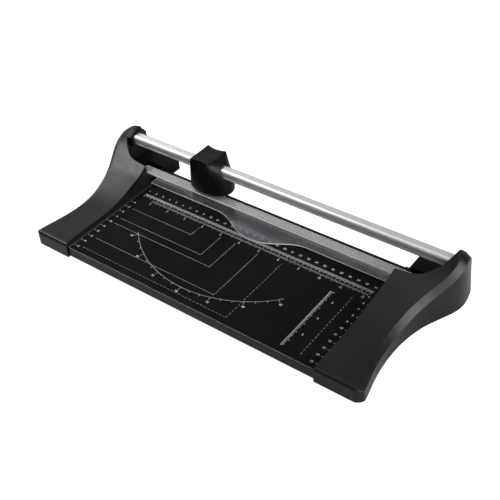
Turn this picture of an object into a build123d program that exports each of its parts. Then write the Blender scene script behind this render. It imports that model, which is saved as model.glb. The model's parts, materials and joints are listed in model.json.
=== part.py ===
from build123d import *
import math
import os

os.makedirs("parts", exist_ok=True)

# Frame: X runs along the cut, Y from front to rear, Z up from the table, in millimetres.
# The origin is on the table, at the middle of the trimmer.

# Deck, the printed board that the paper lies on
deck_top = 14.0
deck_width = 318.0
deck_thickness = 3.0
deck_front_inset = 2.0      # deck's front edge behind the front of the cheeks
deck_rear = 7.0             # deck's rear edge behind the cutting line
deck_foot = 2.5             # lower edge of the skirts above the table
skirt = 2.5
rib = 2.0
rib_foot = 5.0
long_rib_count = 4
cross_rib_count = 3
strip_bar_depth = 3.0       # thickening below the groove of the cutting strip

# Cheeks, the two moulded end housings
cheek_depth = 191.5
cut_to_rear = 32.0          # from the cutting line to the rear of the cheeks
cheek_foot = 0.8            # lower edge of the housings above the table
cheek_wall = 2.5
shoulder = 6.3              # width of the bevel along the outer top edge
wall_draft = 0.035          # inward lean of the outer wall
wall_offset = 5.0           # pocket's inner limit, outside the deck's edge
wall_lean = 0.206           # outward lean of the inner wall above the deck
rear_recess = 1.5           # from the deck's rear edge to the face of the cheek's rear block
corner_radius = 9.5
rear_corner_radius = 14.0
brow_radius = 3.5
# One row for each cross-section, from front to rear. All heights are above the deck.
# share of the depth, width, outer wall, shoulder, flank, hollow, inner edge
cheek_rows = (
    (0.0, 45.6, -0.5, 4.0, 4.4, 4.6, 4.8),
    (0.0366, 45.3, -0.5, 4.0, 4.4, 4.7, 5.0),
    (0.1697, 40.1, 0.0, 4.4, 4.7, 4.9, 5.1),
    (0.3107, 37.2, 0.2, 5.0, 5.0, 5.0, 5.1),
    (0.4569, 38.4, 3.6, 8.8, 8.5, 8.2, 8.2),
    (0.53, 41.0, 7.3, 12.9, 12.2, 11.7, 11.6),
    (0.6084, 45.6, 12.4, 17.9, 16.9, 16.1, 15.6),
    (0.6919, 52.8, 19.4, 24.6, 23.7, 22.8, 22.3),
    (0.7493, 58.0, 24.4, 29.4, 29.3, 28.9, 28.8),
    (0.8225, 62.2, 30.6, 36.2, 39.6, 39.4, 39.0),
    (0.8695, 62.4, 34.2, 39.4, 44.8, 44.6, 44.0),
    (0.9426, 60.0, 32.0, 36.6, 38.2, 37.8, 37.2),
    (1.0, 54.5, 20.0, 26.4, 28.6, 28.6, 28.4),
)
flank_share = 0.75
hollow_share = 0.45
front_rows = 7              # rows of the hollow front part

# Pocket in each cheek, behind the rim of its sloping top: distance from its inner limit, from the cut
rim_points = ((0.0, -23.8), (14.0, -22.8), (26.5, -19.9), (35.9, -13.5), (42.4, -6.7), (46.2, -0.4))
rim_end = 16.0              # behind the cut, where the pocket's outer wall runs straight
pocket_width = 49.0
pocket_floor = 2.6          # above the deck
pocket_flat = 30.0          # level stretch of the floor, before it rises to the horn
well_floor = -9.0           # sunk well of the clamp's springs, from the deck
well_width = 30.0
well_front = -14.0
well_rear = 8.0
deep = 80.0                 # reach of a cut that runs out of the solid
over = 1.0                  # how far a cut goes past a face

# Rail and its seats: a socket on the left, and on the right a saddle and a recess in the horn
rail_setback = 5.0          # middle of the rail behind the cutting line
rail_depth = 12.0
rail_base = 29.0            # above the deck
rail_height = 10.5
rail_wall = 1.3
rail_round = 3.6
groove_height = 1.4
groove_depth = 1.0
groove_rise = 1.4           # from the rail's underside
rail_inset = 6.0            # length of the rail inside the socket
rail_end_gap = 0.6          # from the rail's right end to the pocket's outer wall
socket_reach = 37.0         # start of socket and saddle, from the pocket's inner limit
socket_wall = 3.0
socket_clear = 0.1

# Cutting strip in the deck
strip_front = -1.0          # from the cutting line
strip_rear = 5.0
strip_depth = 2.0
strip_clear = 0.1
strip_end_gap = 0.5
kerf_width = 1.4
kerf_depth = 1.7

# Clear paper clamp, its posts and springs
clamp_rise = 1.3            # underside above the deck, with room for paper
clamp_thickness = 1.5
clamp_front_thickness = 1.0
clamp_length = 316.0
clamp_rear = 0.3
clamp_step = -11.0
clamp_front = -23.5
lobe_reach = 21.0
lobe_width = 124.0
tab_reach = 22.0            # end of the tab beyond the pocket's inner limit
post_reach = 16.0
post_radius = 2.4
post_head_radius = 4.0
post_head = 2.0
post_head_gap = 0.1
post_slot = 0.8
post_stud_radius = 1.5
post_stud = 3.0
tab_clear = 0.3

# Springs
clamp_spring_wire = 0.7
clamp_spring_radius = 3.5
clamp_spring_turns = 6
press_spring_wire = 0.6
press_spring_radius = 2.3
press_spring_turns = 3
spring_seat_gap = 0.05
spring_samples = 24         # in each turn, for the gap between turns

# Cutter head, in its resting place on the rail
head_x = -90.5
head_top = 49.3             # above the deck
head_waist = 34.0
head_hip = 10.0
head_bottom = 4.7
head_bottom_round = 4.6
head_edge_round = 0.8
# shift along X and Y, half width and half depth at the corners, then how far the left side, the right side,
# and the front and rear bow out at their middles
head_top_size = (0.0, 0.0, 12.7, 16.5, 0.0, 0.0, -2.7)
head_waist_size = (1.0, 0.0, 16.2, 15.5, 1.5, 8.0, -0.2)
head_hip_size = (1.0, 1.5, 19.5, 15.0, 3.0, 9.0, 4.5)
press_travel = 1.6

# Runner of the head on the rail
runner_length = 22.0
runner_wall = 2.2
runner_clear = 0.2
runner_lift = 0.7           # lower edge of its legs above the rail's underside
head_clear = 0.2
shelf_gap = 0.1
head_roof = 3.0
peg_radius = 1.4
peg_height = 1.6
peg_spread = 6.0
slot_clear = 0.4

# Blade and its carrier
blade_radius = 11.0
blade_thickness = 0.6
blade_bevel = 1.4
blade_edge = 0.1
blade_setback = 1.3
blade_rise = 0.8            # lowest point above the deck, with the head up
hub_radius = 4.0
hub_width = 1.6
hub_clear = 0.02
axle_radius = 2.0
axle_clear = 0.06
axle_head_radius = 3.2
axle_head = 1.2
clip_radius = 3.0
clip_thickness = 0.6
neck_radius = 1.5
clip_mouth = 2.4
carrier_width = 25.6
carrier_front = 5.0         # from the blade's middle plane
carrier_rear = 7.0
carrier_top = 26.5          # above the deck
carrier_bottom = 5.0
carrier_clear = 0.1
blade_slot = 2.0
blade_slot_clear = 0.6

# Screws and feet
screw_radius = 1.5
screw_hole_clear = 0.05
screw_head_radius = 2.6
screw_head = 1.4
drive_length = 2.4
drive_width = 0.6
ledge_width = 10.0
ledge_thickness = 3.0
ledge_start = 10.0          # behind the front of the cheeks
ledge_to_cut = 27.5         # from the rear end of the ledge to the cutting line
deck_screw_shares = (0.12, 0.55, 0.93)
deck_screw_grip = 2.0
cover_thickness = 2.0
cover_clear = 0.3
# share of the depth, distance from the pocket's inner limit
cover_screw_places = ((0.063, 34.0), (0.313, 18.0), (0.553, 18.0))
cover_screw_grip = 6.0
boss_radius = 3.6
foot_radius = 7.0
foot_height = 2.0
front_foot_setback = 33.0
front_foot_reach = 18.0     # from the pocket's inner limit
rear_foot_gap = 17.5        # from the rear of the cheeks
rear_foot_reach = 36.0
head_screw_spread = 15.6
head_screw_rise = 19.0
head_screw_grip = 9.0
head_screw_seat = 8.5       # seat of the screw heads behind the parting plane

# Places worked out from the sizes above
front_y = -cheek_depth / 2
rear_y = cheek_depth / 2
cut_y = rear_y - cut_to_rear
rail_y = cut_y + rail_setback
blade_y = cut_y + blade_setback
deck_x = deck_width / 2
inner_x = deck_x + wall_offset
ledge_y = (front_y + ledge_start, cut_y - ledge_to_cut)
front_foot = (inner_x + front_foot_reach, front_y + front_foot_setback)
rear_foot = (inner_x + rear_foot_reach, rear_y - rear_foot_gap)
deck_under = deck_top - deck_thickness
rail_z = deck_top + rail_base
rail_top_z = rail_z + rail_height
rail_left = -inner_x - socket_reach - rail_inset
rail_right = inner_x + pocket_width - rail_end_gap
rail_screw_x = inner_x + socket_reach + rail_inset / 2
post_x = inner_x + post_reach
clamp_z = deck_top + clamp_rise
clamp_top_z = clamp_z + clamp_thickness
tab_y = cut_y + (clamp_rear + clamp_step) / 2
well_z = deck_top + well_floor
runner_leg_z = rail_z + runner_lift
runner_half_depth = rail_depth / 2 + runner_clear + runner_wall
runner_top_z = rail_top_z + runner_clear + runner_wall
head_roof_z = deck_top + head_top - head_roof
blade_z = deck_top + blade_rise + blade_radius


def block(x, y, z):
    """A box between two limits along each axis."""
    middle = Pos((x[0] + x[1]) / 2, (y[0] + y[1]) / 2, (z[0] + z[1]) / 2)
    return middle * Box(x[1] - x[0], y[1] - y[0], z[1] - z[0])


def rod_z(x, y, z, radius):
    """An upright round bar between two heights."""
    return Pos(x, y, (z[0] + z[1]) / 2) * Cylinder(radius, z[1] - z[0])


def rod_y(x, y, z, radius):
    """A round bar that runs from front to rear."""
    return Pos(x, (y[0] + y[1]) / 2, z) * Rot(90, 0, 0) * Cylinder(radius, y[1] - y[0])


def on_left(shape):
    return mirror(shape, about=Plane.YZ)


def save(name, *solids):
    """Write one node, as one solid or as a group of separate ones."""
    shape = solids[0] if len(solids) == 1 else Compound(children=list(solids))
    export_step(shape, "parts/" + name + ".step")


def cheek_section(row, y, inset, foot):
    """Cross-section of the right cheek, drawn in by a wall's thickness where asked."""
    width = row[1]
    wall_top, shoulder_top, flank, hollow, inner = [height - inset for height in row[2:]]
    x_foot = deck_x + inset
    x_in = x_foot + wall_lean * inner
    x_out = inner_x + width - inset
    x_wall = x_out - wall_draft * (deck_top + wall_top)
    x_shoulder = x_wall - shoulder
    span = x_shoulder - x_in
    top = [
        (x_in, y, deck_top + inner),
        (x_in + span * hollow_share, y, deck_top + hollow),
        (x_in + span * flank_share, y, deck_top + flank),
        (x_shoulder, y, deck_top + shoulder_top),
    ]
    wall = (x_wall, y, deck_top + wall_top)
    toe = (x_out - wall_draft * foot, y, foot)
    edges = [
        Spline(*top),
        Line(top[-1], wall),
        Line(wall, toe),
        Line(toe, (x_foot, y, foot)),
        Line((x_foot, y, foot), (x_foot, y, deck_top)),
        Line((x_foot, y, deck_top), top[0]),
    ]
    return Face(Wire(edges))


def cheek_body(rows, inset, foot):
    """Lofted body of the right cheek through some of its cross-sections."""
    sections = []
    for row in rows:
        y = max(front_y + row[0] * cheek_depth, front_y + inset)
        y = min(y, rear_y - inset)
        sections.append(cheek_section(row, y, inset, foot))
    return loft(sections)


def rail_profile(grow, grooved):
    """Section of the rail in the YZ plane, grown by a clearance."""
    plane = Plane.YZ
    half = rail_depth / 2 + grow
    low = rail_z - grow
    high = rail_top_z + grow
    outline = Polyline(
        (rail_y - half, low), (rail_y + half, low), (rail_y + half, high), (rail_y - half, high), close=True
    )
    face = make_face(outline)
    face = fillet(face.vertices().sort_by(Axis.Y)[2:], rail_round + grow)
    if grooved:
        middle = rail_z + groove_rise + groove_height / 2
        for side in (-1, 1):
            face -= Pos(rail_y + side * half, middle) * Rectangle(2 * groove_depth, groove_height)
    return plane * face


def corner_tool(width, setback, radius, way, inset):
    """What rounds an outer corner of the right cheek or its hollow in plan, at the front or the rear."""
    x = inner_x + width - radius
    y = front_y + setback - way * radius
    ends = sorted((y, y + 2 * way * radius))
    waste = block((x, x + 2 * radius), ends, (-over, deep))
    return waste - rod_z(x, y, (-over, deep), radius - inset)


def brow_tool():
    """What rounds the front top edge of the right cheek."""
    y = front_y + brow_radius
    z = deck_top + cheek_rows[0][3] - brow_radius
    x = (deck_x - over, inner_x + deep)
    waste = block(x, (y - 2 * brow_radius, y), (z, z + 2 * brow_radius))
    bar = Pos((x[0] + x[1]) / 2, y, z) * Rot(0, 90, 0) * Cylinder(brow_radius, x[1] - x[0])
    return waste - bar


def pocket_tool(covered):
    """What is taken out of the right cheek behind the rim of its sloping top."""
    rim = [(inner_x + away, cut_y + back) for away, back in rim_points]
    edge_x = inner_x + pocket_width
    start_x = deck_x - over
    slope = (rim[1][1] - rim[0][1]) / (rim[1][0] - rim[0][0])
    start = (start_x, rim[0][1] - slope * (rim[0][0] - start_x))
    straight = (edge_x, cut_y + rim_end)
    rear = rear_y + over
    plan = make_face(
        [
            Line(start, rim[0]),
            Spline(*rim, straight),
            Line(straight, (edge_x, rear)),
            Line((edge_x, rear), (start_x, rear)),
            Line((start_x, rear), start),
        ]
    )
    floor_z = deck_top + pocket_floor
    flat_x = inner_x + pocket_flat
    sweep_radius = edge_x - flat_x
    side = make_face(
        [
            Line((start_x, deck_top), (inner_x, deck_top)),
            Line((inner_x, deck_top), (inner_x, floor_z)),
            Line((inner_x, floor_z), (flat_x, floor_z)),
            CenterArc((flat_x, floor_z + sweep_radius), sweep_radius, 270, 90),
            Line((edge_x, floor_z + sweep_radius), (edge_x, deep)),
            Line((edge_x, deep), (start_x, deep)),
            Line((start_x, deep), (start_x, deck_top)),
        ]
    )
    room = extrude(plan, amount=deep) & extrude(Plane.XZ * side, amount=cheek_depth, both=True)
    half = rail_depth / 2 + socket_wall
    seat = block(
        (inner_x + socket_reach, edge_x + over),
        (rail_y - half, rail_y + half),
        (rail_z - socket_wall, deep if covered else rail_z - socket_clear),
    )
    well = block(
        (inner_x + cheek_wall, inner_x + well_width),
        (cut_y + well_front, cut_y + well_rear),
        (well_z, floor_z + over),
    )
    notch = block(
        (start_x, inner_x + cheek_wall + over),
        (cut_y + clamp_step - over, cut_y + clamp_rear + over),
        (deck_top - over, floor_z + over),
    )
    recess = block(
        (start_x - ledge_width, inner_x),
        (cut_y + deck_rear + rear_recess, rear),
        (0, deep),
    )
    return room - seat + well + notch + recess


def screw_z(x, y, seat_z, grip, upward):
    """An upright pan-head screw whose head bears on a seat."""
    way = 1 if upward else -1
    shank = sorted((seat_z, seat_z + way * grip))
    head = sorted((seat_z - way * screw_head, seat_z))
    body = rod_z(x, y, shank, screw_radius) + rod_z(x, y, head, screw_head_radius)
    drive = sorted((seat_z - way * screw_head, seat_z - way * screw_head / 2))
    cross = Box(drive_length, drive_width, screw_head) + Box(drive_width, drive_length, screw_head)
    return body - Pos(x, y, drive[0] if upward else drive[1]) * cross


def deck_screw_place(share):
    return deck_x - ledge_width / 2, ledge_y[0] + share * (ledge_y[1] - ledge_y[0])


def cover_screw_seat(place):
    return inner_x + place[1], front_y + place[0] * cheek_depth


def make_cheek(covered):
    """Right cheek: hollow front, solid horn with the seat of the rail, pocket and screw bosses."""
    body = cheek_body(cheek_rows, 0, cheek_foot)
    widest = max(row[1] for row in cheek_rows)
    body -= corner_tool(cheek_rows[0][1], 0, corner_radius, -1, 0)
    body -= corner_tool(widest, cheek_depth, rear_corner_radius, 1, 0)
    body -= brow_tool()
    cavity = cheek_body(cheek_rows[:front_rows], cheek_wall, -over)
    cavity -= corner_tool(cheek_rows[0][1], 0, corner_radius, -1, cheek_wall)
    cover_top = cheek_foot + cover_thickness
    for place in cover_screw_places:
        x, y = cover_screw_seat(place)
        cavity -= rod_z(x, y, (cover_top, deep), boss_radius)
    body -= cavity
    body -= pocket_tool(covered)
    rail_end = -rail_left if covered else rail_right
    body -= extrude(rail_profile(socket_clear, False), amount=rail_end + socket_clear)
    ledge_top = deck_under
    body += block(
        (deck_x - ledge_width, deck_x + cheek_wall),
        ledge_y,
        (ledge_top - ledge_thickness, ledge_top),
    )
    hole = screw_radius + screw_hole_clear
    for share in deck_screw_shares:
        x, y = deck_screw_place(share)
        body -= rod_z(x, y, (0, ledge_top + over), hole)
    for place in cover_screw_places:
        x, y = cover_screw_seat(place)
        body -= rod_z(x, y, (cover_top - over, cover_top + cover_screw_grip), hole)
    body -= rod_z(rail_screw_x, rail_y, (rail_z - socket_wall - over, rail_z + over), hole)
    stud_hole = post_stud_radius + screw_hole_clear
    body -= rod_z(post_x, tab_y, (well_z - post_stud, well_z + over), stud_hole)
    body -= rod_z(*rear_foot, (-over, foot_height), foot_radius)
    return body


def make_cover():
    """Plate that closes the hollow front of the right cheek from below."""
    inset = cheek_wall + cover_clear
    slab = block((deck_x, inner_x + deep), (front_y, rear_y), (cheek_foot, cheek_foot + cover_thickness))
    plate = cheek_body(cheek_rows[:front_rows], inset, -over) & slab
    plate -= corner_tool(cheek_rows[0][1], 0, corner_radius, -1, inset)
    seat = cheek_foot + screw_head
    for place in cover_screw_places:
        x, y = cover_screw_seat(place)
        plate -= rod_z(x, y, (-over, seat), screw_head_radius + cover_clear)
        plate -= rod_z(x, y, (-over, deep), screw_radius + screw_hole_clear)
    plate -= rod_z(*front_foot, (-over, foot_height), foot_radius)
    return plate


def make_deck():
    """Printed board with skirts and ribs below and the groove of the cutting strip."""
    front = front_y + deck_front_inset
    rear = cut_y + deck_rear
    board = block((-deck_x, deck_x), (front, rear), (deck_under, deck_top))
    inside = deck_x - ledge_width - over
    board += block((-deck_x, deck_x), (front, front + skirt), (deck_foot, deck_under))
    board += block((-inside, inside), (rear - skirt, rear), (deck_foot, deck_under))
    bar = deck_under - strip_bar_depth
    board += block((-inside, inside), (cut_y + strip_front - rib, rear), (bar, deck_under))
    for step in range(long_rib_count):
        x = inside * (2 * step / (long_rib_count - 1) - 1)
        x -= math.copysign(rib, x)
        board += block((x - rib / 2, x + rib / 2), (front, rear), (rib_foot, deck_under))
    for step in range(cross_rib_count):
        y = front + (rear - front) * (step + 1) / (cross_rib_count + 1)
        board += block((-inside + rib, inside - rib), (y - rib / 2, y + rib / 2), (rib_foot, deck_under))
    board -= block(
        (-deck_x - over, deck_x + over),
        (cut_y + strip_front, cut_y + strip_rear),
        (deck_top - strip_depth, deck_top + over),
    )
    hole = screw_radius + screw_hole_clear
    for share in deck_screw_shares:
        depth = (deck_under - over, deck_under + deck_screw_grip)
        pilot = rod_z(*deck_screw_place(share), depth, hole)
        board -= pilot
        board -= on_left(pilot)
    return board


def make_strip():
    """Replaceable cutting strip with the kerf that the blade runs in."""
    strip = block(
        (-deck_x + strip_end_gap, deck_x - strip_end_gap),
        (cut_y + strip_front + strip_clear, cut_y + strip_rear - strip_clear),
        (deck_top - strip_depth, deck_top),
    )
    kerf = (blade_y - kerf_width / 2, blade_y + kerf_width / 2)
    return strip - block((-deck_x, deck_x), kerf, (deck_top - kerf_depth, deck_top + over))


def make_rail():
    """Hollow extruded rail with a runner groove along each side."""
    length = rail_right - rail_left
    rail = Pos(rail_left, 0, 0) * extrude(rail_profile(0, True), amount=length)
    bore_floor = rail_z + groove_rise + groove_height + rail_wall
    bore_width = rail_depth - 2 * rail_wall
    bore_height = rail_top_z - rail_wall - bore_floor
    bore = Pos(rail_y, bore_floor + bore_height / 2) * RectangleRounded(
        bore_width, bore_height, rail_round - rail_wall
    )
    rail -= Pos(rail_left, 0, 0) * extrude(Plane.YZ * bore, amount=length)
    pilot = rod_z(rail_screw_x, rail_y, (rail_z - over, bore_floor + over), screw_radius + screw_hole_clear)
    return rail - pilot - on_left(pilot)


def make_clamp():
    """Clear clamp strip with its hand lobe, thinner front half and a tab at each end."""
    half = clamp_length / 2
    front = cut_y + clamp_front
    step = cut_y + clamp_step
    rear = cut_y + clamp_rear
    lobe = [
        (x * lobe_width / 2, front - lobe_reach * (1 + math.cos(math.pi * x)) / 2)
        for x in (-1, -0.5, 0, 0.5, 1)
    ]
    plan = make_face(
        [
            Line((-half, step), (-half, front)),
            Line((-half, front), lobe[0]),
            Spline(*lobe, tangents=((1, 0), (1, 0))),
            Line(lobe[-1], (half, front)),
            Line((half, front), (half, step)),
            Line((half, step), (-half, step)),
        ]
    )
    plate = Pos(0, 0, clamp_z) * extrude(plan, amount=clamp_front_thickness)
    reach = inner_x + tab_reach
    plate += block((-half, half), (step, rear), (clamp_z, clamp_top_z))
    plate += block((-reach, reach), (step, rear), (clamp_z, clamp_top_z))
    hole = rod_z(post_x, tab_y, (deck_top, clamp_top_z + over), post_radius + tab_clear)
    return plate - hole - on_left(hole)


def make_post():
    """Shouldered post that guides one tab of the clamp and stops the cutter head."""
    seat = clamp_top_z + post_head_gap
    post = rod_z(post_x, tab_y, (well_z, seat), post_radius)
    post += rod_z(post_x, tab_y, (seat, seat + post_head), post_head_radius)
    post += rod_z(post_x, tab_y, (well_z - post_stud, well_z), post_stud_radius)
    slot = block(
        (post_x - post_head_radius, post_x + post_head_radius),
        (tab_y - post_slot / 2, tab_y + post_slot / 2),
        (seat + post_head / 2, seat + post_head + over),
    )
    return post - slot


def helix_point(radius, height, turns, share):
    angle = 2 * math.pi * turns * share
    return Vector(radius * math.cos(angle), radius * math.sin(angle), height * share)


def helix_heading(radius, height, turns, share):
    angle = 2 * math.pi * turns * share
    turn = 2 * math.pi * turns
    return Vector(-radius * turn * math.sin(angle), radius * turn * math.cos(angle), height).normalized()


def biarc(start, heading, end, heading_end):
    """Two tangent arcs from one point and heading to another."""
    chord = end - start
    both = heading + heading_end
    square = 2 * (heading.dot(heading_end) - 1)
    linear = chord.dot(both)
    reach = (linear - math.sqrt(linear * linear - square * chord.dot(chord))) / square
    knee_a = start + heading * reach
    knee_b = end - heading_end * reach
    middle = (knee_a + knee_b) * 0.5
    way = (knee_b - knee_a).normalized()
    return [Edge.make_tangent_arc(start, heading, middle), Edge.make_tangent_arc(middle, way, end)]


def least_gap(points, wire, skip):
    """Least free space between stretches of a coil that are not next to each other."""
    best = math.inf
    for first in range(len(points)):
        for second in range(first + skip, len(points)):
            best = min(best, (points[first] - points[second]).length - wire)
    return best


def make_spring(name, place, height, radius, wire, turns):
    """Coil spring wound on quarter-turn arcs, standing on a place."""
    rise = height - wire - 2 * spring_seat_gap
    quarters = 4 * turns
    edges = []
    for step in range(quarters):
        a = step / quarters
        b = (step + 1) / quarters
        edges += biarc(
            helix_point(radius, rise, turns, a),
            helix_heading(radius, rise, turns, a),
            helix_point(radius, rise, turns, b),
            helix_heading(radius, rise, turns, b),
        )
    path = Wire(edges)
    start = Plane(origin=helix_point(radius, rise, turns, 0), z_dir=helix_heading(radius, rise, turns, 0))
    coil = sweep(start * Circle(wire / 2), path=path)
    samples = spring_samples * turns
    points = [helix_point(radius, rise, turns, share / samples) for share in range(samples + 1)]
    print(name, "least gap between turns", round(least_gap(points, wire, spring_samples // 2), 2), "mm")
    return Pos(place[0], place[1], place[2] + wire / 2 + spring_seat_gap) * coil


def head_section(height, size):
    """Plan of the cutter head at one height, with bowed front, rear and sides."""
    shift_x, shift_y, x, y, left_bow, right_bow, bow = size
    z = deck_top + height
    corners = [(-x, -y), (x, -y), (x, y), (-x, y)]
    middles = [(0, -y - bow), (x + right_bow, 0), (0, y + bow), (-x - left_bow, 0)]
    edges = []
    for index in range(4):
        a = corners[index]
        b = corners[(index + 1) % 4]
        places = (a, middles[index], b)
        points = [(head_x + shift_x + p[0], rail_y + shift_y + p[1], z) for p in places]
        edges.append(Spline(*points))
    return Face(Wire(edges))


def make_head():
    """Outer form of the cutter head with the rooms for runner, rail, carrier and screws."""
    body = loft(
        [
            head_section(head_bottom, head_hip_size),
            head_section(head_hip, head_hip_size),
            head_section(head_waist, head_waist_size),
            head_section(head_top, head_top_size),
        ]
    )
    body = fillet(body.edges().group_by(Axis.Z)[0], head_bottom_round)
    body = fillet(body.edges().group_by(Axis.Z)[-1], head_edge_round)
    half_x = runner_length / 2 + head_clear
    half_y = runner_half_depth + head_clear
    body -= block(
        (head_x - half_x, head_x + half_x),
        (rail_y - half_y, rail_y + half_y),
        (runner_leg_z - shelf_gap, head_roof_z),
    )
    passage = extrude(rail_profile(slot_clear, False), amount=deck_width, both=True)
    body -= passage
    body -= Pos(0, 0, press_travel) * passage
    body -= block(
        (head_x - carrier_width / 2 - carrier_clear, head_x + carrier_width / 2 + carrier_clear),
        (blade_y - carrier_front - carrier_clear, blade_y + carrier_rear + carrier_clear),
        (0, deck_top + carrier_top),
    )
    z = deck_top + head_screw_rise
    hole = screw_radius + screw_hole_clear
    seat = rail_y + head_screw_seat
    for side in (-1, 1):
        x = head_x + side * head_screw_spread
        body -= rod_y(x, (rail_y - head_screw_grip, seat + over), z, hole)
        body -= rod_y(x, (seat, seat + deep), z, screw_head_radius + carrier_clear)
    return body


def make_head_screw(side):
    x = head_x + side * head_screw_spread
    z = deck_top + head_screw_rise
    seat = rail_y + head_screw_seat
    screw = rod_y(x, (rail_y - head_screw_grip, seat), z, screw_radius)
    screw += rod_y(x, (seat, seat + screw_head), z, screw_head_radius)
    cross = Box(drive_length, screw_head, drive_width) + Box(drive_width, screw_head, drive_length)
    return screw - Pos(x, seat + screw_head, z) * cross


def make_runner():
    """Bridge that slides on the rail, with a rib in each groove and two spring pegs."""
    half = runner_length / 2
    inner = rail_depth / 2 + runner_clear
    runner = block(
        (head_x - half, head_x + half),
        (rail_y - runner_half_depth, rail_y + runner_half_depth),
        (runner_leg_z, runner_top_z),
    )
    room = make_face(
        Polyline(
            (rail_y - inner, rail_z - over),
            (rail_y + inner, rail_z - over),
            (rail_y + inner, rail_top_z + runner_clear),
            (rail_y - inner, rail_top_z + runner_clear),
            close=True,
        )
    )
    room = fillet(room.vertices().sort_by(Axis.Y)[2:], rail_round)
    runner -= extrude(Plane.YZ * room, amount=deck_width, both=True)
    rib_z = rail_z + groove_rise + groove_height / 2
    rib_half = groove_height / 2 - runner_clear
    for side in (-1, 1):
        tip = rail_y + side * (rail_depth / 2 - groove_depth + runner_clear)
        root = rail_y + side * (inner + runner_wall / 2)
        runner += block(
            (head_x - half, head_x + half), sorted((tip, root)), (rib_z - rib_half, rib_z + rib_half)
        )
        peg_x = head_x + side * peg_spread
        runner += rod_z(peg_x, rail_y, (runner_top_z, runner_top_z + peg_height), peg_radius)
    return runner


def make_carrier():
    """Cartridge that holds the blade's axle and shields the blade."""
    half = carrier_width / 2
    carrier = block(
        (head_x - half, head_x + half),
        (blade_y - carrier_front, blade_y + carrier_rear),
        (deck_top + carrier_bottom, deck_top + carrier_top),
    )
    slot = (blade_y - blade_slot / 2, blade_y + blade_slot / 2)
    room = blade_radius + blade_slot_clear
    carrier -= rod_y(head_x, slot, blade_z, room)
    carrier -= block((head_x - room, head_x + room), slot, (0, blade_z))
    ends = (blade_y - carrier_front - over, blade_y + carrier_rear + over)
    carrier -= rod_y(head_x, ends, blade_z, axle_radius + hub_clear)
    front = blade_y - carrier_front
    rear = blade_y + carrier_rear
    carrier -= rod_y(head_x, (front - over, front + axle_head), blade_z, axle_head_radius + carrier_clear)
    carrier -= rod_y(head_x, (rear - 2 * clip_thickness, rear + over), blade_z, clip_radius + carrier_clear)
    return carrier


def make_axle():
    front = blade_y - carrier_front
    rear = blade_y + carrier_rear
    axle = rod_y(head_x, (front, rear), blade_z, axle_radius)
    axle += rod_y(head_x, (front, front + axle_head), blade_z, axle_head_radius)
    neck = (rear - 2 * clip_thickness, rear - clip_thickness)
    ring = rod_y(head_x, neck, blade_z, clip_radius) - rod_y(head_x, neck, blade_z, neck_radius)
    return axle - ring


def make_clip():
    """Snap ring in the neck at the end of the axle."""
    rear = blade_y + carrier_rear
    neck = (rear - 2 * clip_thickness, rear - clip_thickness)
    ring = rod_y(head_x, neck, blade_z, clip_radius)
    ring -= rod_y(head_x, neck, blade_z, neck_radius)
    mouth = (head_x - clip_mouth / 2, head_x + clip_mouth / 2)
    return ring - block(mouth, neck, (blade_z - clip_radius - over, blade_z))


def make_blade():
    """Round blade, bevelled to its edge from both sides."""
    half = blade_thickness / 2
    profile = make_face(
        Polyline(
            (hub_radius + hub_clear, -half),
            (blade_radius - blade_bevel, -half),
            (blade_radius, -blade_edge / 2),
            (blade_radius, blade_edge / 2),
            (blade_radius - blade_bevel, half),
            (hub_radius + hub_clear, half),
            close=True,
        )
    )
    disc = revolve(profile, axis=Axis.Y)
    return Pos(head_x, blade_y, blade_z) * disc


def make_hub():
    half = hub_width / 2
    hub = rod_y(head_x, (blade_y - half, blade_y + half), blade_z, hub_radius)
    return hub - rod_y(head_x, (blade_y - hub_width, blade_y + hub_width), blade_z, axle_radius + axle_clear)


def make_foot(place):
    return rod_z(*place, (0, foot_height), foot_radius)


def deck_screw(share):
    x, y = deck_screw_place(share)
    return screw_z(x, y, deck_under - ledge_thickness, ledge_thickness + deck_screw_grip, True)


def cover_screw(place):
    x, y = cover_screw_seat(place)
    return screw_z(x, y, cheek_foot + screw_head, cover_thickness - screw_head + cover_screw_grip, True)


def rail_screw():
    grip = socket_wall + groove_rise + groove_height + rail_wall
    return screw_z(rail_screw_x, rail_y, rail_z - socket_wall, grip, True)


save("right_cheek", make_cheek(False))
save("left_cheek", on_left(make_cheek(True)))
cover = make_cover()
save("right_cheek_cover", cover)
save("left_cheek_cover", on_left(cover))
save("base_deck", make_deck())
save("cutting_strip", make_strip())
save("rail", make_rail())
save("paper_clamp", make_clamp())

post = make_post()
save("clamp_posts", post, on_left(post))
feet = [make_foot(front_foot), make_foot(rear_foot)]
save("rubber_feet", *feet, *[on_left(foot) for foot in feet])
screws = [deck_screw(share) for share in deck_screw_shares]
save("deck_screws", *screws, *[on_left(screw) for screw in screws])
screws = [cover_screw(place) for place in cover_screw_places]
save("cover_screws", *screws, *[on_left(screw) for screw in screws])
save("rail_screws", rail_screw(), on_left(rail_screw()))

clamp_spring_height = clamp_z - well_z
for side, name in ((-1, "left_clamp_spring"), (1, "right_clamp_spring")):
    place = (side * post_x, tab_y, well_z)
    spring = make_spring(
        name, place, clamp_spring_height, clamp_spring_radius, clamp_spring_wire, clamp_spring_turns
    )
    save(name, spring)

head = make_head()
front_half = block((head_x - deep, head_x + deep), (rail_y - deep, rail_y), (0, deep))
save("head_front_shell", head & front_half)
save("head_rear_shell", head - front_half)
save("head_screws", make_head_screw(-1), make_head_screw(1))
save("rail_runner", make_runner())
press_spring_height = head_roof_z - runner_top_z
for side, name in ((-1, "left_press_spring"), (1, "right_press_spring")):
    place = (head_x + side * peg_spread, rail_y, runner_top_z)
    spring = make_spring(
        name, place, press_spring_height, press_spring_radius, press_spring_wire, press_spring_turns
    )
    save(name, spring)
save("blade_carrier", make_carrier())
save("blade_axle", make_axle())
save("axle_clip", make_clip())
save("round_blade", make_blade())
save("blade_hub", make_hub())
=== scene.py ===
import json
import math

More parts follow.
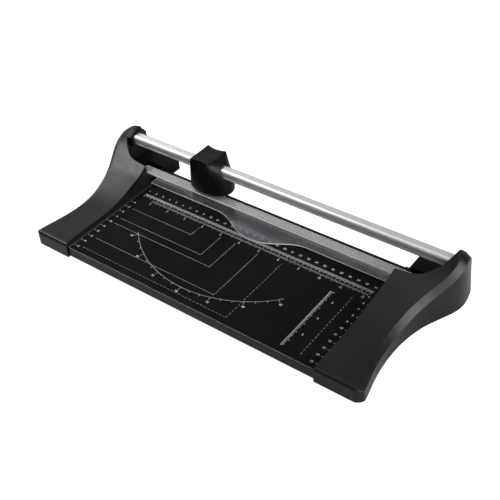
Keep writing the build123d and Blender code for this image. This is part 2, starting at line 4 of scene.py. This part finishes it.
import bmesh
import bpy
from mathutils import Matrix, Vector


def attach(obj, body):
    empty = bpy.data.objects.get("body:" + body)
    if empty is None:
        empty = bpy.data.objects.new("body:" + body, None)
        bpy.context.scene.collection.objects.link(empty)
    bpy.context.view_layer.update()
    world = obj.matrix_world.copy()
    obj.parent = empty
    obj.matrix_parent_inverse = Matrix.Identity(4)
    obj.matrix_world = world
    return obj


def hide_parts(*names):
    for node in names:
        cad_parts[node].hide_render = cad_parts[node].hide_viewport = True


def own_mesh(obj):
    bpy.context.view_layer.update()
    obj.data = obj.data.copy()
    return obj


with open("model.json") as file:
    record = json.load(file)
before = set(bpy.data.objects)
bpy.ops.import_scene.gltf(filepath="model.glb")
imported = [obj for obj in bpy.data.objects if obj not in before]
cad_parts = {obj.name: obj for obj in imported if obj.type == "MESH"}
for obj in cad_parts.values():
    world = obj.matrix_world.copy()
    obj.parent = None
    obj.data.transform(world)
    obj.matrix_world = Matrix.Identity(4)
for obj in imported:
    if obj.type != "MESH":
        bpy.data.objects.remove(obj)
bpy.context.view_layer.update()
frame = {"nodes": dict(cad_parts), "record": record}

# Lengths on the trimmer are in millimetres, lamps and floor in metres
MM = 0.001
INCH = 25.4
CUT_Y = 63.75
DECK_TOP = 14.0
WALL_X = 159.0


def add_object(name, data):
    thing = bpy.data.objects.new(name, data)
    bpy.context.scene.collection.objects.link(thing)
    return thing


# Materials

EDGE_SAMPLES = 6
MIX_FACTOR = 0
MIX_FIRST = 6
MIX_SECOND = 7
MIX_RESULT = 2


def new_material(name):
    mat = bpy.data.materials.new(name)
    mat.use_nodes = True
    tree = mat.node_tree
    return mat, tree, tree.nodes["Principled BSDF"]


def set_inputs(node, **values):
    for key, value in values.items():
        node.inputs[key.replace("_", " ")].default_value = value


def feed(tree, socket, value):
    """Link another node's output to a socket, or set a plain value on it."""
    if isinstance(value, bpy.types.NodeSocket):
        tree.links.new(value, socket)
    else:
        socket.default_value = value


def object_coords(tree, stretch=(1, 1, 1)):
    coords = tree.nodes.new("ShaderNodeTexCoord")
    mapping = tree.nodes.new("ShaderNodeMapping")
    set_inputs(mapping, Scale=stretch)
    tree.links.new(coords.outputs["Object"], mapping.inputs["Vector"])
    return mapping.outputs["Vector"]


def axes_of(tree, vector):
    node = tree.nodes.new("ShaderNodeSeparateXYZ")
    tree.links.new(vector, node.inputs[0])
    return node.outputs


def face_up(tree):
    """How far a face looks up: 1 on a level top, 0 on an upright side."""
    geometry = tree.nodes.new("ShaderNodeNewGeometry")
    return axes_of(tree, geometry.outputs["True Normal"])["Z"]


def noise(tree, vector, scale, detail, roughness=0.55):
    node = tree.nodes.new("ShaderNodeTexNoise")
    set_inputs(node, Scale=scale, Detail=detail, Roughness=roughness)
    tree.links.new(vector, node.inputs["Vector"])
    return node.outputs["Fac"]


def ramp(tree, factor, stops):
    node = tree.nodes.new("ShaderNodeValToRGB")
    for element, (place, colour) in zip(node.color_ramp.elements, stops):
        element.position = place
        element.color = (*colour, 1)
    tree.links.new(factor, node.inputs["Fac"])
    return node.outputs["Color"]


def spread(tree, factor, low, high, start=0.3, end=0.7):
    node = tree.nodes.new("ShaderNodeMapRange")
    set_inputs(node, From_Min=start, From_Max=end, To_Min=low, To_Max=high)
    tree.links.new(factor, node.inputs["Value"])
    return node.outputs["Result"]


def mixed(tree, factor, first, second):
    node = tree.nodes.new("ShaderNodeMix")
    node.data_type = "RGBA"
    feed(tree, node.inputs[MIX_FACTOR], factor)
    feed(tree, node.inputs[MIX_FIRST], first)
    feed(tree, node.inputs[MIX_SECOND], second)
    return node.outputs[MIX_RESULT]


def math_node(tree, operation, first, second=0):
    node = tree.nodes.new("ShaderNodeMath")
    node.operation = operation
    feed(tree, node.inputs[0], first)
    feed(tree, node.inputs[1], second)
    return node.outputs["Value"]


def dot_product(tree, first, second):
    node = tree.nodes.new("ShaderNodeVectorMath")
    node.operation = "DOT_PRODUCT"
    feed(tree, node.inputs[0], first)
    feed(tree, node.inputs[1], second)
    return node.outputs["Value"]


def soft_edges(tree, radius):
    node = tree.nodes.new("ShaderNodeBevel")
    node.samples = EDGE_SAMPLES
    set_inputs(node, Radius=radius * MM)
    return node.outputs["Normal"]


def edge_mask(tree, radius):
    """1 along the edges of a piece, 0 on its flat faces."""
    geometry = tree.nodes.new("ShaderNodeNewGeometry")
    bend = dot_product(tree, soft_edges(tree, radius), geometry.outputs["Normal"])
    return spread(tree, bend, low=1.0, high=0.0, start=0.72, end=0.98)


def bump(tree, height, distance, strength, normal):
    node = tree.nodes.new("ShaderNodeBump")
    set_inputs(node, Distance=distance * MM, Strength=strength)
    tree.links.new(height, node.inputs["Height"])
    tree.links.new(normal, node.inputs["Normal"])
    return node.outputs["Normal"]


RUBBED_WIDTH = 1.6


def black_plastic(name, dark, light, worn, rough, specular, edge=0.6, grain=2600):
    """Moulded black with faint clouds, a fine grain and edges rubbed lighter."""
    mat, tree, shader = new_material(name)
    place = object_coords(tree)
    cloud = noise(tree, place, scale=38, detail=4)
    fine = noise(tree, place, scale=grain, detail=2)
    body = ramp(tree, cloud, ((0.32, dark), (0.68, light)))
    rubbed = spread(tree, fine, low=0.25, high=0.9)
    edges = math_node(tree, "MULTIPLY", edge_mask(tree, edge * RUBBED_WIDTH), rubbed)
    tree.links.new(mixed(tree, edges, body, (*worn, 1)), shader.inputs["Base Color"])
    patches = noise(tree, place, scale=120, detail=5)
    tree.links.new(spread(tree, patches, rough - 0.05, rough + 0.06), shader.inputs["Roughness"])
    set_inputs(shader, Specular_IOR_Level=specular)
    normal = bump(tree, fine, distance=0.02, strength=0.35, normal=soft_edges(tree, edge))
    tree.links.new(normal, shader.inputs["Normal"])
    return mat


def satin_sides(mat, top, sides):
    """A printed top with plain satin moulding on the upright faces."""
    tree = mat.node_tree
    shine = spread(tree, face_up(tree), low=sides, high=top, start=0.4, end=0.8)
    tree.links.new(shine, tree.nodes["Principled BSDF"].inputs["Specular IOR Level"])


POCKET_LENGTH = 46.3
POCKET_FRONT = 24.0


def matt_pockets(mat, inside, outside):
    """Less shine inside the finger pockets, behind their curved rim: painted shade for the shade that
    falls in them.
    """
    tree = mat.node_tree
    place = axes_of(tree, object_coords(tree, (1 / MM, 1 / MM, 1 / MM)))
    along = math_node(tree, "SUBTRACT", math_node(tree, "ABSOLUTE", place["X"]), WALL_X)
    ahead = math_node(tree, "MINIMUM", math_node(tree, "SUBTRACT", place["Y"], CUT_Y), 0)
    along = math_node(tree, "POWER", math_node(tree, "DIVIDE", along, POCKET_LENGTH), 2)
    ahead = math_node(tree, "POWER", math_node(tree, "DIVIDE", ahead, POCKET_FRONT), 2)
    reach = math_node(tree, "ADD", along, ahead)
    # Painted shade: the shine drops inside the pockets.
    shine = spread(tree, reach, low=inside, high=outside, start=0.93, end=1.0)
    tree.links.new(shine, tree.nodes["Principled BSDF"].inputs["Specular IOR Level"])


def metal(name, dark, light, rough, stretch, scale, depth=0.002, edge=0.25):
    """Drawn or ground metal with fine lines, faint blotches and softened edges."""
    mat, tree, shader = new_material(name)
    lines = noise(tree, object_coords(tree, stretch), scale, detail=4, roughness=0.6)
    blotch = noise(tree, object_coords(tree), scale=90, detail=3)
    drawn = ramp(tree, lines, ((0.3, dark), (0.7, light)))
    colour = mixed(tree, spread(tree, blotch, low=0.0, high=0.35), drawn, (*dark, 1))
    tree.links.new(colour, shader.inputs["Base Color"])
    tree.links.new(spread(tree, lines, rough - 0.04, rough + 0.05), shader.inputs["Roughness"])
    set_inputs(shader, Metallic=1.0)
    normal = bump(tree, lines, depth, strength=0.3, normal=soft_edges(tree, edge))
    tree.links.new(normal, shader.inputs["Normal"])
    return mat


REAR_BAND_STARTS = CUT_Y - 11.6
REAR_BAND_FULL = CUT_Y - 10.6
LOBE_TINT = (0.72, 0.75, 0.80, 1)
REAR_TINT = (0.80, 0.785, 0.79, 1)
CUT_EDGE_HIGHLIGHT_TINT = (0.95, 0.95, 0.97, 1)
CUT_EDGE_HIGHLIGHT_SHARE = 0.92


def clear_material():
    """Clear strip with a paler, hazier band along its rear that paints in part of the bright surround's
    reflection there, and cut edges painted white as a highlight.
    """
    mat, tree, shader = new_material("clear_acrylic")
    place = object_coords(tree)
    level = math_node(tree, "ABSOLUTE", face_up(tree))
    # Cut edges: a white frost painted on them stands in for the highlight along the strip's edges.
    cut_edge = spread(tree, level, low=1.0, high=0.0, start=0.3, end=0.6)
    # Rear band: its paler, hazier look is in part a painted reflection of the bright surround, added to
    # the rendered one.
    rear = spread(tree, axes_of(tree, place)["Y"], 0.0, 1.0, REAR_BAND_STARTS * MM, REAR_BAND_FULL * MM)
    colour = mixed(tree, rear, LOBE_TINT, REAR_TINT)
    tree.links.new(mixed(tree, cut_edge, colour, CUT_EDGE_HIGHLIGHT_TINT), shader.inputs["Base Color"])
    haze = spread(tree, noise(tree, place, scale=26, detail=3), low=-0.015, high=0.015)
    sheet = spread(tree, rear, low=0.97, high=0.76, start=0.0, end=1.0)
    clearness = math_node(tree, "ADD", sheet, haze)
    # Painted highlight: the cut edges lose clearness and turn white.
    edge_highlight = math_node(tree, "MULTIPLY", cut_edge, CUT_EDGE_HIGHLIGHT_SHARE)
    tree.links.new(math_node(tree, "SUBTRACT", clearness, edge_highlight), shader.inputs["Transmission Weight"])
    polish = spread(tree, rear, low=0.06, high=0.12, start=0.0, end=1.0)
    tree.links.new(polish, shader.inputs["Roughness"])
    set_inputs(shader, IOR=1.5)
    waves = noise(tree, place, scale=60, detail=2)
    normal = bump(tree, waves, distance=0.004, strength=0.1, normal=soft_edges(tree, 0.25))
    tree.links.new(normal, shader.inputs["Normal"])
    return mat


def ink_material(name, faded, full):
    """Screen-printed ink, a little thin in places; the same material paints the highlight lines on the
    deck.
    """
    mat, tree, shader = new_material(name)
    wear = noise(tree, object_coords(tree), scale=700, detail=4, roughness=0.65)
    tone = ramp(tree, wear, ((0.3, (faded,) * 3), (0.6, (full,) * 3)))
    tree.links.new(tone, shader.inputs["Base Color"])
    tree.links.new(spread(tree, wear, low=0.5, high=0.7), shader.inputs["Roughness"])
    set_inputs(shader, Specular_IOR_Level=0.2)
    return mat


HOUSING_SHINE = 0.24
DECK_SHINE = 0.04
black = black_plastic(
    "black_plastic", dark=(0.0035, 0.0035, 0.004), light=(0.006, 0.006, 0.0064),
    worn=(0.03, 0.03, 0.031), rough=0.32, specular=HOUSING_SHINE)
matt_pockets(black, inside=0.05, outside=HOUSING_SHINE)
head_black = black_plastic(
    "head_black", dark=(0.0025, 0.0025, 0.0028), light=(0.0045, 0.0045, 0.005),
    worn=(0.02, 0.02, 0.021), rough=0.38, specular=0.15)
deck_black = black_plastic(
    "deck_black", dark=(0.0026, 0.0026, 0.0028), light=(0.0042, 0.0042, 0.0044),
    worn=(0.03, 0.03, 0.031), rough=0.44, specular=DECK_SHINE, edge=0.4)
satin_sides(deck_black, top=DECK_SHINE, sides=0.3)
strip_black = black_plastic(
    "strip_black", dark=(0.006, 0.006, 0.006), light=(0.011, 0.011, 0.011),
    worn=(0.03, 0.03, 0.03), rough=0.6, specular=0.15, edge=0.3)
inner = black_plastic(
    "inner_plastic", dark=(0.018, 0.018, 0.020), light=(0.030, 0.030, 0.032),
    worn=(0.06, 0.06, 0.06), rough=0.48, specular=0.25, edge=0.3)
rubber = black_plastic(
    "foot_rubber", dark=(0.014, 0.014, 0.014), light=(0.028, 0.028, 0.027),
    worn=(0.05, 0.05, 0.05), rough=0.82, specular=0.2, edge=0.5, grain=900)
aluminium = metal(
    "rail_aluminium", dark=(0.64, 0.64, 0.65), light=(0.76, 0.76, 0.77),
    rough=0.52, stretch=(0.003, 1, 1), scale=1500, depth=0.0008, edge=0.3)
steel = metal(
    "steel", dark=(0.42, 0.42, 0.43), light=(0.60, 0.60, 0.61),
    rough=0.30, stretch=(1, 1, 0.2), scale=900)
wire = metal(
    "spring_steel", dark=(0.34, 0.34, 0.35), light=(0.50, 0.50, 0.51),
    rough=0.28, stretch=(1, 1, 1), scale=1100)
ground = metal(
    "blade_steel", dark=(0.50, 0.50, 0.52), light=(0.66, 0.66, 0.68),
    rough=0.20, stretch=(1, 0.1, 1), scale=1200)
clear = clear_material()
white_ink_and_highlight = ink_material("print_white_and_highlight", faded=0.38, full=0.58)
wall_foot_highlight_paint = ink_material("painted_highlight_gray", faded=0.022, full=0.034)

by_slot = {
    "black_plastic": black, "deck_black": deck_black, "strip_black": strip_black, "inner_plastic": inner,
    "rail_aluminium": aluminium, "clear_acrylic": clear, "steel": steel, "spring_steel": wire,
    "blade_steel": ground, "foot_rubber": rubber,
}
by_node = {"head_front_shell": head_black, "head_rear_shell": head_black}
for entry in frame["record"]["subparts"]:
    node = entry["node"]
    for slot in frame["nodes"][node].material_slots:
        slot.material = by_node.get(node, by_slot[entry["material_slot"]])


# Printed scales on the deck, with painted highlight lines along its front edge and the left wall's foot.
# Y is counted from the cut, and runs negative towards the front.

MARK_HEIGHT = DECK_TOP + 0.05
NUMBER_SIZE = 3.6
NUMBER_BOLDNESS = 0.008
RIGHTWARD = (1, 0)
FRONTWARD = (0, -1)


class Print:
    def __init__(self):
        self.mesh = bmesh.new()

    def spot(self, x, y):
        return Vector((x * MM, (y + CUT_Y) * MM, MARK_HEIGHT * MM))

    def line(self, start, end, width):
        a = Vector(start)
        b = Vector(end)
        side = (b - a).normalized().orthogonal() * width / 2
        corners = (a - side, b - side, b + side, a + side)
        self.mesh.faces.new([self.mesh.verts.new(self.spot(*corner)) for corner in corners])

    def dashes(self, start, end, length=2.6, gap=2.2, width=0.2):
        a = Vector(start)
        b = Vector(end)
        way = (b - a).normalized()
        place = 0.0
        while place < (b - a).length:
            stop = min(place + length, (b - a).length)
            self.line(a + way * place, a + way * stop, width)
            place += length + gap

    def number(self, value, middle):
        font = bpy.data.curves.new("number", "FONT")
        font.body = str(value)
        font.size = NUMBER_SIZE * MM
        font.align_x = "CENTER"
        font.align_y = "CENTER"
        font.offset = NUMBER_BOLDNESS * NUMBER_SIZE * MM
        font.resolution_u = 3
        carrier = add_object("number", font)
        bpy.context.view_layer.update()
        depsgraph = bpy.context.evaluated_depsgraph_get()
        flat = bpy.data.meshes.new_from_object(carrier.evaluated_get(depsgraph))
        flat.transform(Matrix.Translation(self.spot(*middle)))
        self.mesh.from_mesh(flat)
        bpy.data.meshes.remove(flat)
        bpy.data.objects.remove(carrier)
        bpy.data.curves.remove(font)

    def done(self, name, ink):
        data = bpy.data.meshes.new(name)
        self.mesh.normal_update()
        self.mesh.to_mesh(data)
        self.mesh.free()
        data.materials.append(ink)
        piece = add_object(name, data)
        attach(piece, "frame")


scales_and_highlight = Print()


def ruler(place, along, across, step, count, lengths, width):
    """Ticks on one side of a baseline. The longest length whose spacing fits a tick is used."""
    start = Vector(place)
    way = Vector(along)
    side = Vector(across)
    for tick in range(count + 1):
        length = next(long for every, long in lengths if tick % every == 0)
        foot = start + way * step * tick
        scales_and_highlight.line(foot, foot + side * length, width)


# Centimetre and inch scales along the cut
CM_LENGTHS = ((10, 5.8), (5, 4.8), (1, 3.6))
INCH_LENGTHS = ((16, 4.6), (8, 3.8), (4, 3.2), (2, 2.6), (1, 2.0))
CM_ZERO_X = -160
CM_TICKS_X = -150
CM_TICKS_Y = -40.3
CM_NUMBERS_Y = -35.0
INCH_TICKS_X = -134
INCH_TICKS_Y = -46.6
INCH_NUMBERS_Y = -53.3
ruler((CM_TICKS_X, CM_TICKS_Y), RIGHTWARD, FRONTWARD, step=1.0, count=301, lengths=CM_LENGTHS, width=0.3)
ruler((INCH_TICKS_X, INCH_TICKS_Y), RIGHTWARD, FRONTWARD, step=INCH / 16, count=178,
      lengths=INCH_LENGTHS, width=0.28)
for step in range(1, 32):
    scales_and_highlight.number(step, (step * 10 + CM_ZERO_X, CM_NUMBERS_Y))
for step in range(1, 13):
    scales_and_highlight.number(step, (INCH * step - WALL_X, INCH_NUMBERS_Y))

# Depth scales at both ends: first and last number, place of the numbers, ends of the ticks
SIDE_SCALES = (
    (5, 15, 151.2, 155.2, 158.2),
    (6, 15, -150.4, -155.8, -153.6),
)
for first, last, number_x, tick_start, tick_end in SIDE_SCALES:
    for step in range(first, last + 1):
        scales_and_highlight.number(step, (number_x, -10 * step))
        scales_and_highlight.line((tick_start, -10 * step), (tick_end, -10 * step), width=0.3)

# Outlines of photo and paper formats, measured from the left wall
FORMATS_LEFT = -144.5
FORMATS_REAR = -56
PAPER_FRONT = -148.5
for wide, deep in ((100, 70), (130, 90), (150, 100), (180, 130)):
    right = wide - WALL_X
    scales_and_highlight.line((FORMATS_LEFT, -deep), (right, -deep), width=0.17)
    scales_and_highlight.line((right, -deep), (right, FORMATS_REAR), width=0.17)
small_sheet = 210 - WALL_X
large_sheet = 297 - WALL_X
scales_and_highlight.dashes((FORMATS_LEFT, PAPER_FRONT), (small_sheet, PAPER_FRONT))
scales_and_highlight.dashes((small_sheet, PAPER_FRONT), (small_sheet, FORMATS_REAR))
scales_and_highlight.dashes((large_sheet, PAPER_FRONT), (large_sheet, FORMATS_REAR - 0.5))

# Angle scale
ARC_MIDDLE = Vector((-14.1, -6.6))
ARC_RADIUS = 132.8
ARC_NUMBERS = ARC_RADIUS + 7.2
LONG_ARC_TICK = 4.0
SHORT_ARC_TICK = 2.6


def on_arc(angle, radius):
    turn = math.radians(angle)
    return ARC_MIDDLE + Vector((math.sin(turn), -math.cos(turn))) * radius


for angle in range(-47, 47):
    scales_and_highlight.line(on_arc(angle, ARC_RADIUS), on_arc(angle + 1, ARC_RADIUS), width=0.24)
for angle in range(-45, 46, 5):
    length = LONG_ARC_TICK if angle % 15 == 0 else SHORT_ARC_TICK
    scales_and_highlight.line(on_arc(angle, ARC_RADIUS), on_arc(angle, ARC_RADIUS + length), width=0.26)
for angle in range(-45, 46, 15):
    scales_and_highlight.number(90 - abs(angle), on_arc(angle, ARC_NUMBERS))

# Inch scale from the rear to the front, and a painted highlight line along the front edge
DEPTH_INCH_X = 115.4
DEPTH_INCH_NUMBERS_X = 125.6
FRONT_HIGHLIGHT_X = 158
FRONT_HIGHLIGHT_Y = -157.1
scales_and_highlight.line((DEPTH_INCH_X, -148.8), (DEPTH_INCH_X, -62.5), width=0.3)
ruler((DEPTH_INCH_X, -63.5), FRONTWARD, RIGHTWARD, step=INCH / 16, count=53,
      lengths=INCH_LENGTHS, width=0.38)
for step in (3, 4, 5):
    scales_and_highlight.number(step, (DEPTH_INCH_NUMBERS_X, -INCH * step))
# Painted highlight along the deck's front top edge, drawn in the white ink.
scales_and_highlight.line((-FRONT_HIGHLIGHT_X, FRONT_HIGHLIGHT_Y), (FRONT_HIGHLIGHT_X, FRONT_HIGHLIGHT_Y), width=0.15)
scales_and_highlight.done("deck_print_and_highlight", white_ink_and_highlight)

# Painted highlight: a gray band along the foot of the left wall
WALL_FOOT_HIGHLIGHT_X = -157.6
wall_foot_highlight = Print()
wall_foot_highlight.line((WALL_FOOT_HIGHLIGHT_X, -24.4), (WALL_FOOT_HIGHLIGHT_X, -157), width=2.6)
wall_foot_highlight.done("painted_wall_foot_highlight", wall_foot_highlight_paint)


# Springs: each coil is copied onto the clamp or the slider it rides on, in place of the CAD spring. On
# the trimmer they shorten as the clamp or the head is pressed down.

LOWER_END = 0
UPPER_END = 1
# Kind, the joint that shortens it, the body it rides on, and the end that stays where it is
SPRINGS = (
    ("clamp", "clamp_press", "clamp", UPPER_END),
    ("press", "head_press", "slider", LOWER_END),
)


def make_coils():
    for kind, joint, body, held_end in SPRINGS:
        for side in ("left", "right"):
            node = f"{side}_{kind}_spring"
            coil = add_object(f"{node}_coil", frame["nodes"][node].data.copy())
            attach(coil, body)
            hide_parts(node)
            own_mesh(coil)


make_coils()


# Floor, world, lights and camera

FLOOR_HALF = 4.0
FLOOR_SEEN = 0.86
FLOOR_MIRRORED = 0.15


def make_floor():
    data = bpy.data.meshes.new("floor")
    shape = bmesh.new()
    bmesh.ops.create_grid(shape, x_segments=8, y_segments=8, size=FLOOR_HALF)
    shape.to_mesh(data)
    shape.free()
    floor = add_object("floor", data)
    mat, tree, shader = new_material("floor_white")
    fine = noise(tree, object_coords(tree), scale=60, detail=3)
    tone = ramp(tree, fine, ((0.3, (0.47, 0.47, 0.47)), (0.7, (0.50, 0.50, 0.50))))
    tree.links.new(tone, shader.inputs["Base Color"])
    set_inputs(shader, Roughness=0.9, Specular_IOR_Level=0.0, Emission_Color=(1, 1, 1, 1))
    path = tree.nodes.new("ShaderNodeLightPath").outputs
    mirrored = math_node(tree, "MAXIMUM", path["Is Glossy Ray"], path["Is Transmission Ray"])
    mirrored = math_node(tree, "MULTIPLY", mirrored, FLOOR_MIRRORED)
    seen = math_node(tree, "MULTIPLY", path["Is Camera Ray"], FLOOR_SEEN)
    tree.links.new(math_node(tree, "ADD", seen, mirrored), shader.inputs["Emission Strength"])
    data.materials.append(mat)


REAR_LEFT = (-0.766, 0.643, 0.0)
ROOM_DIM = 0.14
ROOM_REAR = 0.6
ROOM_FRONT = 0.3


def make_world():
    """A white surround for the eye, and a dimmer room that is brightest behind on the left."""
    world = bpy.data.worlds.new("studio")
    bpy.context.scene.world = world
    world.use_nodes = True
    tree = world.node_tree
    back = tree.nodes["Background"]
    set_inputs(back, Color=(1, 1, 1, 1))
    coords = tree.nodes.new("ShaderNodeTexCoord")
    side = dot_product(tree, coords.outputs["Generated"], REAR_LEFT)
    rear = spread(tree, side, low=ROOM_DIM, high=ROOM_REAR, start=0.0, end=0.8)
    front = spread(tree, side, low=ROOM_FRONT, high=ROOM_DIM, start=-0.75, end=0.0)
    room = math_node(tree, "MAXIMUM", rear, front)
    path = tree.nodes.new("ShaderNodeLightPath").outputs
    seen = math_node(tree, "MAXIMUM", path["Is Camera Ray"], path["Is Transmission Ray"])
    tree.links.new(math_node(tree, "MAXIMUM", room, seen), back.inputs["Strength"])


def softbox(name, target, way, distance, size, power, beam):
    data = bpy.data.lights.new(name, "AREA")
    data.shape = "RECTANGLE"
    data.size, data.size_y = size
    data.energy = power
    data.spread = math.radians(beam)
    lamp = add_object(name, data)
    way = Vector(way).normalized()
    lamp.location = Vector(target) + way * distance
    lamp.rotation_euler = way.to_track_quat("Z", "Y").to_euler()


LENS = 68.2067
SENSOR = 36.0
SHIFT_Y = -0.2
CAMERA_PLACE = (505.131, -574.237, 655.746)
CAMERA_RIGHT = (0.796027, 0.601375, -0.068483)
CAMERA_DOWN = (0.292879, -0.481733, -0.825927)
CAMERA_FORWARD = (-0.529682, 0.637402, -0.559603)


def make_camera():
    data = bpy.data.cameras.new("camera")
    data.lens = LENS
    data.sensor_width = SENSOR
    data.shift_y = SHIFT_Y
    data.clip_start = 0.01
    camera = add_object("camera", data)
    turn = Matrix((Vector(CAMERA_RIGHT), -Vector(CAMERA_DOWN), -Vector(CAMERA_FORWARD)))
    place = Matrix.Translation(Vector(CAMERA_PLACE) * MM)
    camera.matrix_world = place @ turn.transposed().to_4x4()
    bpy.context.scene.camera = camera


LEFT_CHEEK = (-0.185, 0.01, 0.035)
RIGHT_CHEEK = (0.185, 0.01, 0.035)
RIGHT_WALL = (0.225, 0.0, 0.03)
FROM_UPPER_LEFT = (-0.50, -0.18, 0.85)
FROM_RIGHT = (0.906, 0.0, 0.42)
NEAR = 0.45
FAR = 0.8

make_floor()
make_world()
softbox("left_softbox", LEFT_CHEEK, FROM_UPPER_LEFT, NEAR, size=(0.34, 0.34), power=0.39, beam=56)
softbox("left_fill", LEFT_CHEEK, FROM_UPPER_LEFT, NEAR, size=(0.6, 0.6), power=0.28, beam=90)
softbox("right_fill", RIGHT_CHEEK, FROM_UPPER_LEFT, NEAR, size=(0.6, 0.6), power=0.25, beam=90)
softbox("right_softbox", RIGHT_WALL, FROM_RIGHT, FAR, size=(0.7, 0.35), power=5.4, beam=120)
make_camera()
bpy.context.scene.view_settings.view_transform = "Standard"
